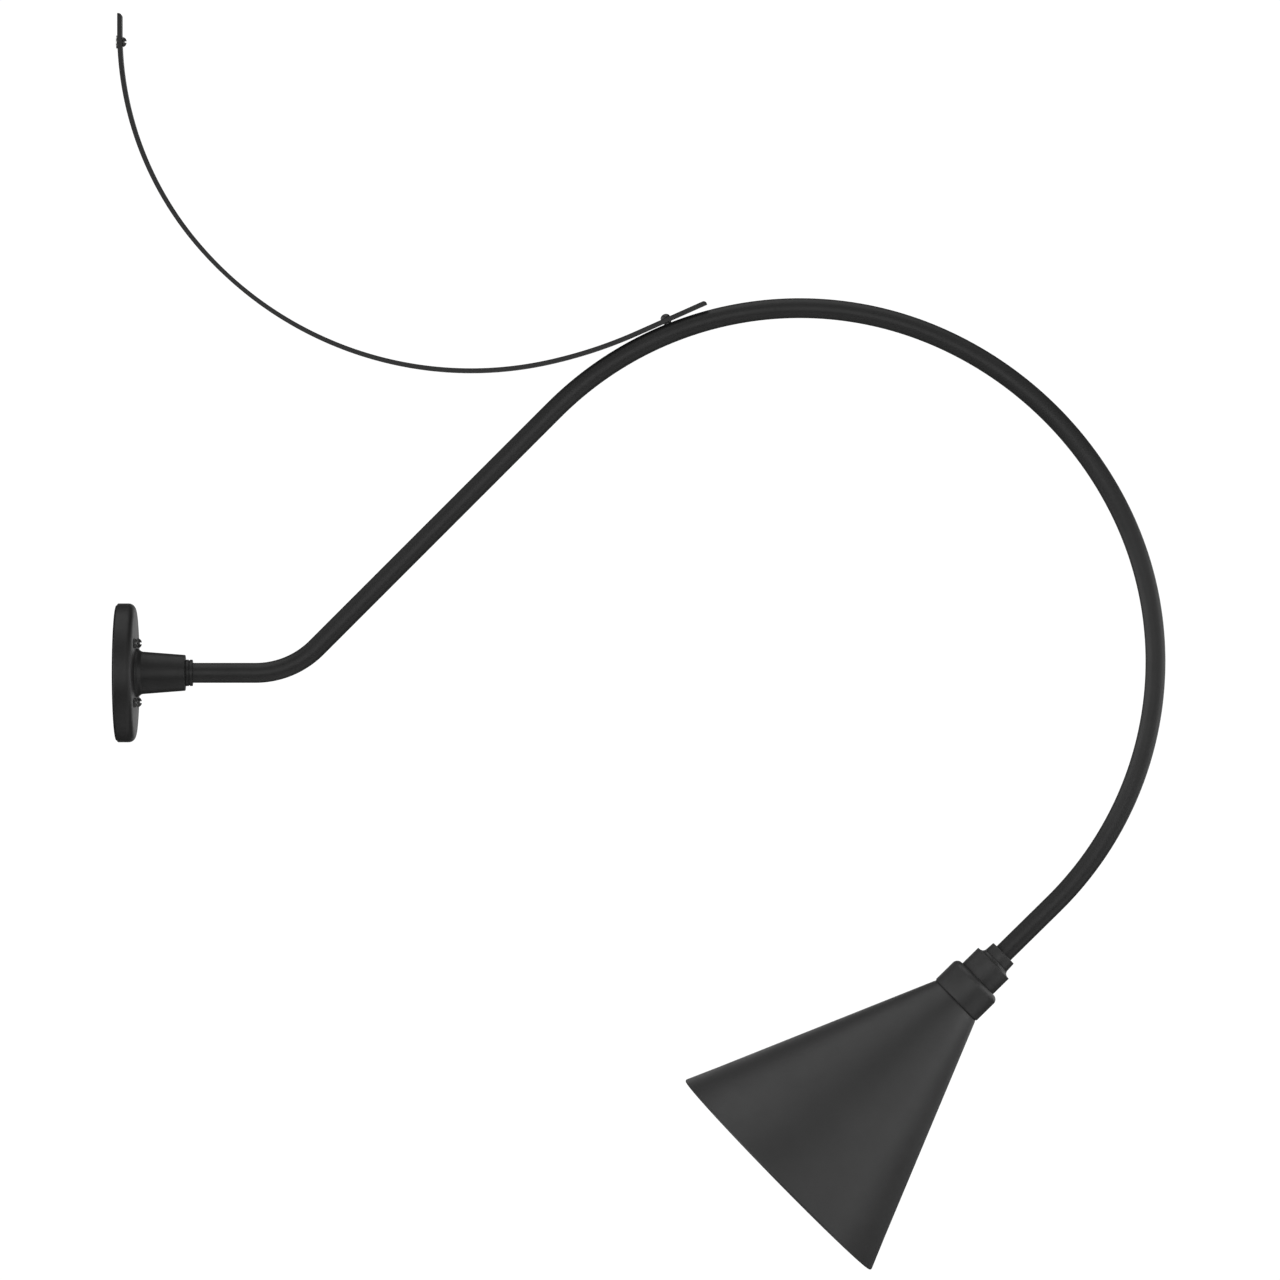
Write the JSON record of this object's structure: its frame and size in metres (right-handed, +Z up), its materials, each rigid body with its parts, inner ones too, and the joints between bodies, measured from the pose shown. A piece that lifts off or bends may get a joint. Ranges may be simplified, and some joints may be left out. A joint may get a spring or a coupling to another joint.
{
  "type": "gooseneck wall light",
  "caption": "Outdoor gooseneck wall light: bent pipe arm on a round wall canopy, flat stay bar above it, and a straight cone shade with a screw-in bulb.",
  "frame": {"origin": "centre of the canopy on the wall plane, at the back of its gasket", "axes": "+X out of the wall along the canopy's axis, +Z up, arm and stay in the plane Y = 0"},
  "size_m": [1.1171, 0.2814, 1.337],
  "materials": {
    "black_powder_coat": "satin, very fine orange peel",
    "black_screw": "satin black coated steel",
    "gasket_rubber": "matte",
    "zinc_steel": "zinc plated",
    "green_screw": "dyed zinc, satin",
    "brass": "plain, lightly burnished",
    "contact_insulator": "black glass insulator with a metal tip",
    "porcelain": "glazed",
    "frosted_glass": "frosted white",
    "black_sleeve": "smooth sleeve",
    "white_sleeve": "smooth sleeve",
    "green_sleeve": "smooth sleeve"
  },
  "bodies": {
    "arm": {"wall_canopy": "black_powder_coat", "wall_gasket": "gasket_rubber", "canopy_screw_1": "black_screw", "canopy_screw_2": "black_screw", "canopy_screw_3": "black_screw", "canopy_screw_4": "black_screw", "arm_set_screw": "black_screw", "wall_lock_nut": "black_powder_coat", "ground_screw": "green_screw", "ground_wire": "green_sleeve", "hot_wire": "black_sleeve", "neutral_wire": "white_sleeve", "gooseneck_arm": "black_powder_coat", "stay_bar": "black_powder_coat", "stay_washer": "zinc_steel", "stay_spacer": "black_screw", "stay_wall_screw": "black_screw", "stay_arm_screw": "black_screw", "shade_lock_nut": "black_powder_coat"},
    "shade": {"shade_hub": "black_powder_coat", "hub_nut": "zinc_steel", "shade_neck": "black_powder_coat", "shade_gasket": "gasket_rubber", "cone_shade": "black_powder_coat", "shade_screw_1": "zinc_steel", "shade_screw_2": "zinc_steel", "shade_screw_3": "zinc_steel", "socket_strap": "zinc_steel", "strap_screw_1": "zinc_steel", "strap_screw_2": "zinc_steel", "socket_body": "porcelain", "socket_shell": "brass", "socket_contact": "brass"},
    "bulb": {"bulb_base": "brass", "bulb_contact": "contact_insulator", "bulb_glass": "frosted_glass"}
  },
  "joints": [
    {"name": "shade_turn", "type": "hinge", "parent": "arm", "child": "shade", "pos_m": [0.94523, 0, -0.29845], "axis": [-0.7133, 0, -0.7009], "range_deg": [-170, 170]},
    {"name": "bulb_draw", "type": "slide", "parent": "shade", "child": "bulb", "axis": [-0.7133, 0, -0.7009], "range_m": [0, 0.29]}
  ]
}
